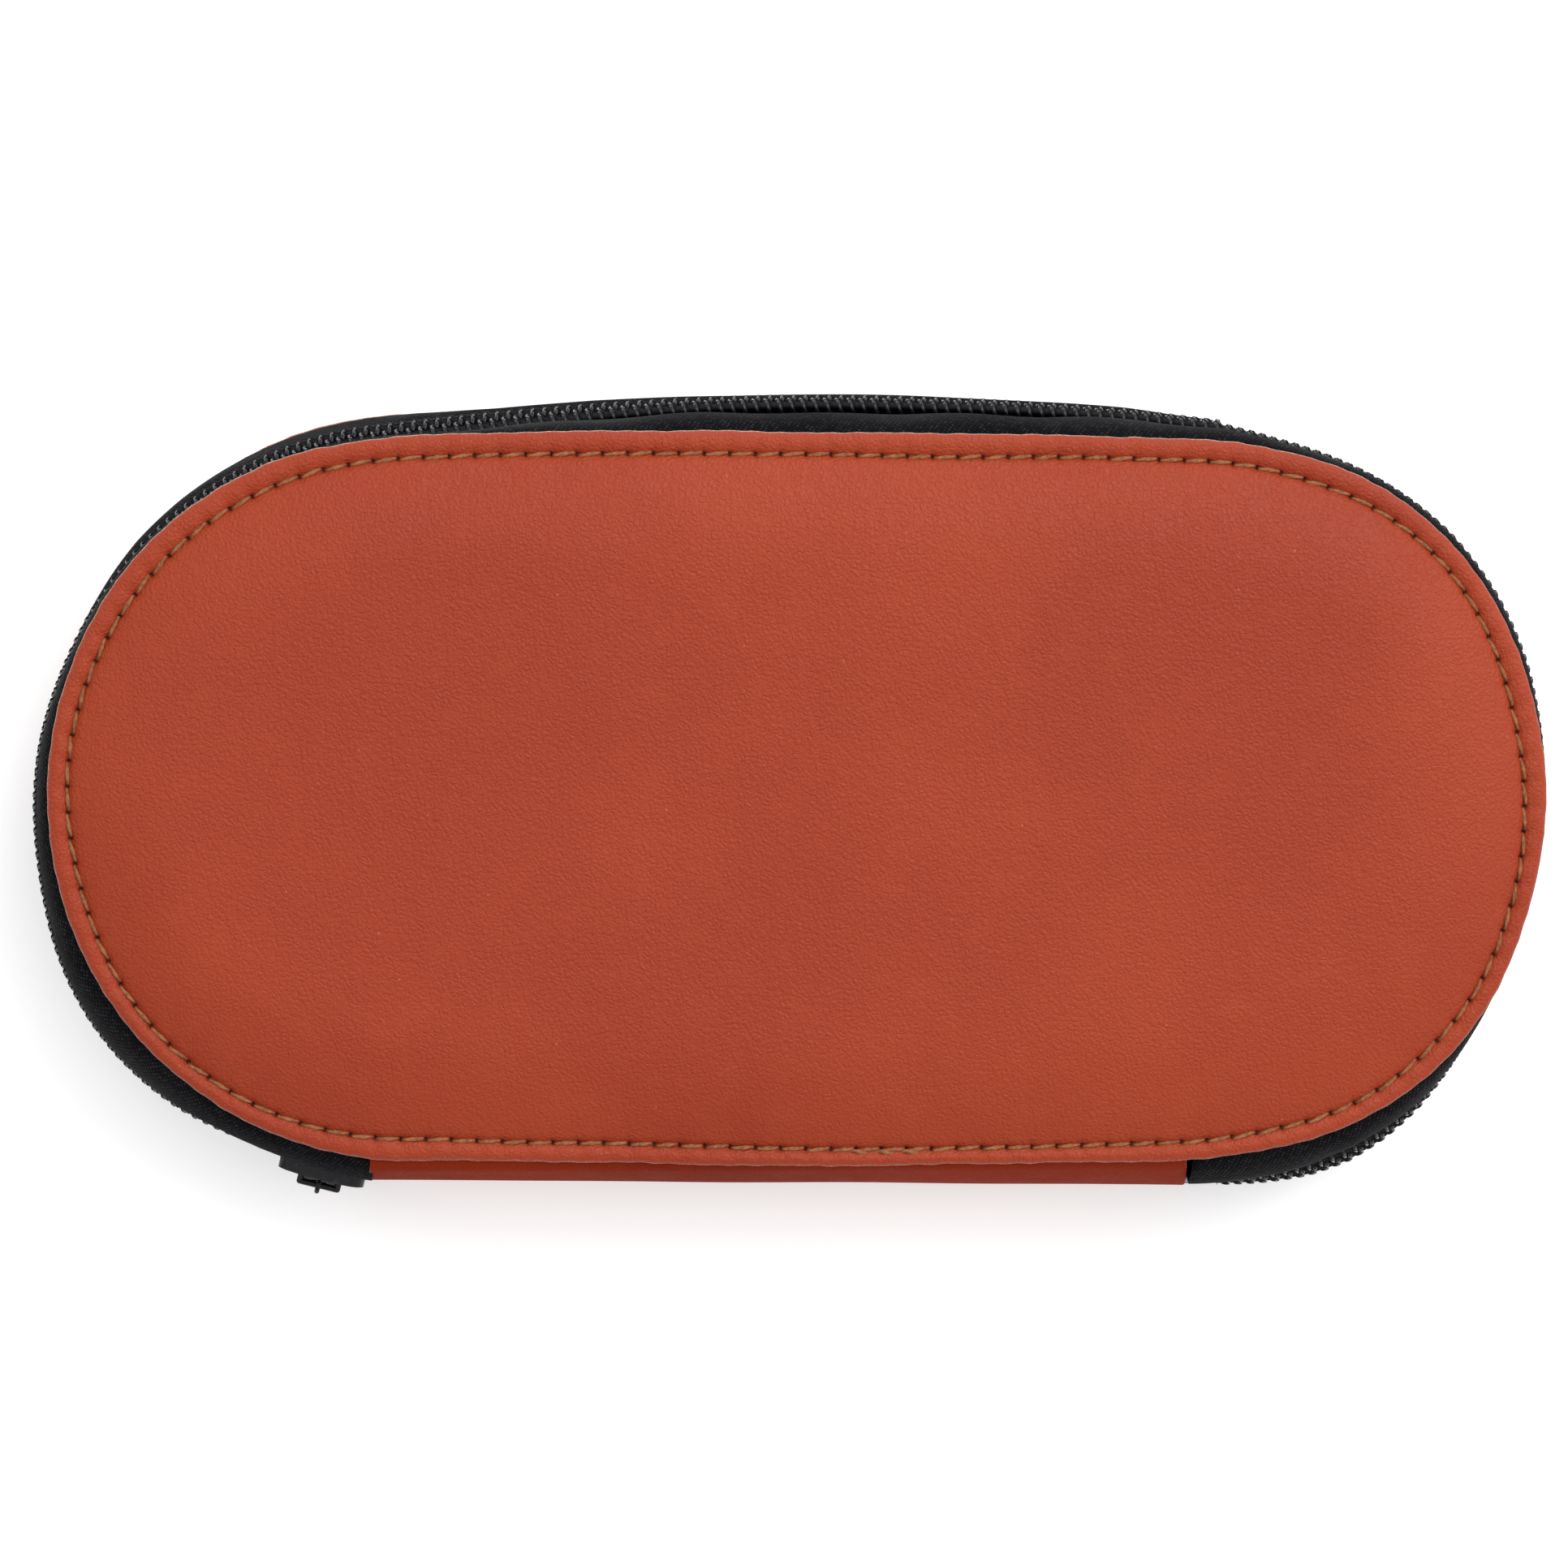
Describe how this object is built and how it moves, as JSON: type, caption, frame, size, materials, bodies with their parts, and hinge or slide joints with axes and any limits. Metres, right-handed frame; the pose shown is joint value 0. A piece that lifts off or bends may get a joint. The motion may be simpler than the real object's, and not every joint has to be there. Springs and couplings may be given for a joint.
{
  "type": "manicure set case",
  "caption": "Zip-around leather case with padded panels, elastic tool loops, a lid pocket and a leather hinge strip.",
  "frame": {"origin": "middle of the case's outline, on the plane that the back crown rests on", "axes": "+X along the case towards its right-hand end, +Y away from the hinge strip, +Z from the back panel to the front panel"},
  "size_m": [0.1838, 0.0967, 0.03],
  "materials": {
    "cover_leather": "satin, fine smooth grain",
    "strip_leather": "satin, fine smooth grain",
    "zip_tape": "woven",
    "zip_coil": "semi-gloss nylon",
    "zip_metal": "semi-gloss lacquer",
    "lining": "fine woven",
    "elastic": "ribbed elastic",
    "padding": "soft foam",
    "board": "matt board"
  },
  "bodies": {
    "base": {"back_cover": "cover_leather", "back_foam": "padding", "back_board": "board", "back_lining": "lining", "back_tape": "zip_tape", "back_coil": "zip_coil", "back_strip_flap": "strip_leather", "tool_band": "elastic", "front_tape_end": "zip_tape", "front_coil_end": "zip_coil", "top_stops": "zip_metal"},
    "spine": {"hinge_strip": "strip_leather", "hinge_lining": "lining", "chain_stop": "zip_metal"},
    "lid": {"front_cover": "cover_leather", "front_foam": "padding", "front_board": "board", "front_lining": "lining", "front_tape": "zip_tape", "front_coil": "zip_coil", "front_strip_flap": "strip_leather", "lid_pocket": "lining", "pocket_binding": "elastic"},
    "slider": {"slider_body": "zip_metal"},
    "pull": {"pull_tab": "zip_metal"}
  },
  "joints": [
    {"name": "strip_back_fold", "type": "hinge", "parent": "base", "child": "spine", "pos_m": [0, -0.0443, 0.0053], "axis": [1, 0, 0], "range_deg": [0, 90]},
    {"name": "strip_front_fold", "type": "hinge", "parent": "spine", "child": "lid", "pos_m": [0, -0.0443, 0.0247], "axis": [1, 0, 0], "range_deg": [0, 90]},
    {"name": "slider_travel", "type": "hinge", "parent": "base", "child": "slider", "pos_m": [-0.0459, -0.0005, 0.015], "axis": [0, 0, -1], "range_deg": [0, 151.9], "deforming": ["back_coil", "front_coil", "front_coil_end"]},
    {"name": "pull_swing", "type": "hinge", "parent": "slider", "child": "pull", "pos_m": [-0.05807, -0.04736, 0.015], "axis": [-0.9679, 0.2514, 0], "range_deg": [0, 180]}
  ],
  "couplings": [
    {"joint": "strip_front_fold", "follows": "strip_back_fold", "ratio": 1}
  ]
}
